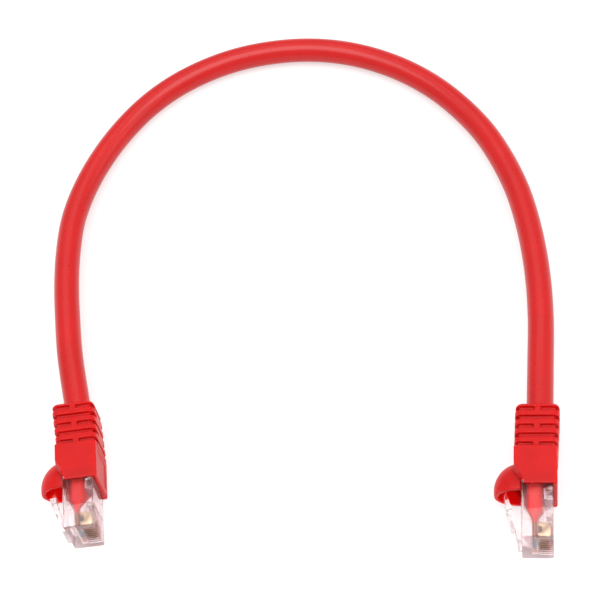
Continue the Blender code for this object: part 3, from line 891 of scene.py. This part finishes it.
def make_relief(name):
    """Block of the strain relief: tapered towards the cable, with round corners and shoulders."""
    thick, width = RELIEF_FRONT_HALF_THICK, RELIEF_FRONT_HALF_WIDTH
    block = add_box(
        f"{name}_relief", (-thick, BOOT_BODY_BACK - 2 * OVERLAP, -width), (thick, BOOT_BACK, width)
    )
    for vertex in block.data.vertices:
        if vertex.co.y > BOOT_BODY_BACK:
            vertex.co.x *= RELIEF_BACK_HALF_THICK / thick
            vertex.co.z *= RELIEF_BACK_HALF_WIDTH / width
        vertex.co.x += RELIEF_X
    return round_edges(block, RELIEF_CORNER, segments=6)


def make_slots(name, level):
    """One level of slots: a groove all round, broken by two webs that change sides at each level."""
    front = BOOT_BODY_BACK + level * RELIEF_PITCH - SLOT_EXTRA
    back = front + RELIEF_SLOT + 2 * SLOT_EXTRA
    core_thick = RELIEF_FRONT_HALF_THICK - RELIEF_DEPTH
    core_width = relief_half_width((front + back) / 2) - RELIEF_DEPTH
    reach = CUTTER_REACH
    groove = add_box(f"{name}_groove", (-reach, front, -reach), (reach, back, reach))
    core = add_box(
        f"{name}_core", (RELIEF_X - core_thick, front - OVERLAP, -core_width),
        (RELIEF_X + core_thick, back + OVERLAP, core_width),
    )
    past = reach + OVERLAP
    web_x, web_z = (SIDE_WEB_HALF, past) if level % 2 == 0 else (past, FACE_WEB_HALF)
    web = add_box(
        f"{name}_web", (RELIEF_X - web_x, front - OVERLAP, -web_z),
        (RELIEF_X + web_x, back + OVERLAP, web_z),
    )
    return combine(groove, [core, web], "DIFFERENCE")


def make_notch(name):
    """What is cut away for the hood: a slanted corner with a steep facet down from top and bottom.

    Under the facets a narrow groove runs round the hood.
    """
    edit = bmesh.new()
    aside, back = NOTCH_GROOVE_HEADING
    groove = [(x + aside * NOTCH_GROOVE, y + back * NOTCH_GROOVE) for x, y in NOTCH_DEEP]
    past = [(2 * x - u, 2 * y - v) for (x, y), (u, v) in zip(NOTCH_EDGE, NOTCH_DEEP)]
    far = 2 * BOOT_HALF_WIDTH - NOTCH_DEPTH
    levels = ((far, past), (NOTCH_DEPTH + NOTCH_LIP, NOTCH_DEEP), (NOTCH_DEPTH, groove))
    rings = []
    for z, outline in [(-z, outline) for z, outline in levels] + list(levels[::-1]):
        rings.append([edit.verts.new((x, y, z)) for x, y in outline])
    for below, above in zip(rings, rings[1:]):
        for k in range(len(below)):
            after = (k + 1) % len(below)
            edit.faces.new((below[k], below[after], above[after], above[k]))
    edit.faces.new(rings[0][::-1])
    edit.faces.new(rings[-1])
    bmesh.ops.recalc_face_normals(edit, faces=edit.faces)
    return mesh_from(f"{name}_notch", edit)


def plug_cuts(name):
    """What the plug fills in a boot: its shank, then its wide mouth, deeper on the contact side."""
    cuts = [add_box(
        f"{name}_sleeve",
        (-SHANK_HALF_THICK - SHANK_GAP, BOOT_FRONT - OVERLAP, -SHANK_HALF_WIDTH - SHANK_GAP),
        (SHANK_HALF_THICK + SHANK_GAP, PLUG_LENGTH + SHANK_END_GAP, SHANK_HALF_WIDTH + SHANK_GAP),
    )]
    mouth_back = BOOT_FRONT + FRONT_INSIDE + MOUTH_END_GAP
    for latch_x, back in ((-PLUG_HALF_THICK, mouth_back), (NECK_LATCH_X, mouth_back + NECK_LENGTH)):
        cuts.append(add_box(
            f"{name}_mouth",
            (latch_x - MOUTH_GAP, BOOT_FRONT - OVERLAP, -PLUG_HALF_WIDTH - MOUTH_GAP),
            (PLUG_HALF_THICK + MOUTH_GAP, back, PLUG_HALF_WIDTH + MOUTH_GAP),
        ))
    return cuts


def make_boot(name):
    """Boot and strain relief, one soft moulding, its relief leaning with the cable."""
    body = add_box(
        f"{name}_boot_block", (BOOT_LATCH_X, BOOT_FRONT, -BOOT_HALF_WIDTH),
        (BOOT_CONTACT_X, BOOT_BODY_BACK, BOOT_HALF_WIDTH),
    )
    round_edges(body, BOOT_EDGE, segments=4)
    combine(body, [make_relief(name)], "UNION")
    cuts = [make_slots(name, level) for level in range(RELIEF_LEVELS)]
    cuts += plug_cuts(name)
    cuts.append(add_cylinder(
        f"{name}_bore", (JACKET_X, PLUG_LENGTH - OVERLAP, 0.0),
        (JACKET_X, BOOT_BACK + OVERLAP, 0.0), BOOT_BORE_RADIUS,
    ))
    panel = add_box(
        f"{name}_panel", (BOOT_CONTACT_X - PANEL_DEPTH, PANEL_FRONT, -PANEL_HALF_WIDTH),
        (BOOT_CONTACT_X + OVERLAP, PANEL_BACK, PANEL_HALF_WIDTH),
    )
    cuts.append(round_edges(panel, PANEL_CORNER, segments=4))
    cuts.append(make_notch(name))
    combine(body, cuts, "DIFFERENCE")
    relax(on_fine_grid(body))
    relax(body, behind=RELAXED_AGAIN_FROM)
    for vertex in body.data.vertices:
        vertex.co.x += relief_shift(vertex.co.y, name)
    body.name = f"{name}_boot_skin"
    return to_world(body, name, ENDS[name]["seat"])


def make_hood(name):
    """Domed hood over the latch's tail, open towards the nose."""
    centre = (*HOOD_MIDDLE, 0.0)
    shell = add_ellipsoid(f"{name}_hood_blank", centre, HOOD_RADII)
    inside = add_ellipsoid(
        f"{name}_inside", centre, [radius - HOOD_WALL for radius in HOOD_RADII]
    )
    keep = add_box(
        f"{name}_keep", (HOOD_KEEP_X, HOOD_RIM, -HOOD_KEEP_HALF_WIDTH),
        (HOOD_SKIRT_X, HOOD_KEEP_BACK, HOOD_KEEP_HALF_WIDTH),
    )
    combine(shell, [keep], "INTERSECT")
    combine(shell, [inside], "DIFFERENCE")
    relax(on_fine_grid(shell))
    shell.name = f"{name}_hood_skin"
    return to_world(shell, name, ENDS[name]["seat"])


# ---------------------------------------------------------------- studio


def make_camera():
    """The camera of the photo's view."""
    data = bpy.data.cameras.new("camera")
    data.lens = CAMERA_LENS
    data.sensor_width = CAMERA_SENSOR
    data.clip_start = CAMERA_NEAREST
    camera = add_object("camera", data)
    heading = (CAMERA_TARGET - CAMERA_PLACE).normalized()
    level = heading.to_track_quat("-Z", "Y").to_matrix()
    roll = Matrix.Rotation(CAMERA_ROLL, 3, "Z")
    camera.matrix_world = Matrix.Translation(CAMERA_PLACE) @ (level @ roll).to_4x4()
    bpy.context.scene.camera = camera


def add_softbox(name, place, target, width, height, power):
    """A rectangular lamp that faces its target."""
    data = bpy.data.lights.new(name, "AREA")
    data.shape = "RECTANGLE"
    data.size = width
    data.size_y = height
    data.energy = power
    light = add_object(name, data)
    light.location = place
    light.rotation_euler = (Vector(target) - Vector(place)).to_track_quat("-Z", "Y").to_euler()


def make_studio():
    """Softboxes, a white room and a glowing white floor."""
    for name, values in SOFTBOXES.items():
        add_softbox(name, *values)
    world = bpy.data.worlds.new("studio")
    bpy.context.scene.world = world
    world.use_nodes = True
    background = world.node_tree.nodes["Background"]
    background.inputs["Color"].default_value = (*WHITE, 1.0)
    background.inputs["Strength"].default_value = WORLD_STRENGTH
    bpy.context.scene.view_settings.view_transform = "Standard"
    edit = bmesh.new()
    bmesh.ops.create_grid(edit, x_segments=8, y_segments=8, size=FLOOR_HALF_SIZE)
    floor = mesh_from("floor", edit)
    floor.location.z = FLOOR_HEIGHT
    floor.data.materials.append(floor_material())


# ---------------------------------------------------------------- build


def build_cable():
    """The jacket, which is the cord, and the eight conductors inside it."""
    route = Route(whole_route())
    jacket, middles = make_jacket(route)
    paint_with(jacket, red_jacket_material())
    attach(jacket, "lead")
    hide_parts("cable_jacket")
    for pin, (label, colour, stripe) in CONDUCTORS.items():
        conductor = make_conductor(route, pin, label)
        paint_with(conductor, insulation_material(label, colour, stripe))
        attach(conductor, "lead")
        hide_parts(f"conductor_{pin}_{label}")


def build_end(name, clear, gold, red, thin_red):
    """One end: plug with its latch, eight blades, boot and hood."""
    plug = paint_with(make_housing(name), clear)
    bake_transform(plug)
    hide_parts(f"{name}_plug_housing", f"{name}_latch")
    for pin in range(1, PIN_COUNT + 1):
        blade = paint_with(make_contact(name, pin), gold)
        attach(blade, "lead")
        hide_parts(f"{name}_contact_{pin}")
    boot = paint_with(make_boot(name), red)
    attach(boot, "lead")
    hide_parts(f"{name}_boot")
    hood = paint_with(make_hood(name), thin_red)
    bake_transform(hood)
    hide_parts(f"{name}_hood")


make_camera()
build_cable()
clear, gold = clear_material(), gold_material()
red = red_boot_material("moulded_red_pvc", **BOOT_GLOW)
thin_red = red_boot_material("thin_red_pvc", **HOOD_GLOW)
for end_name in ENDS:
    build_end(end_name, clear, gold, red, thin_red)
make_studio()
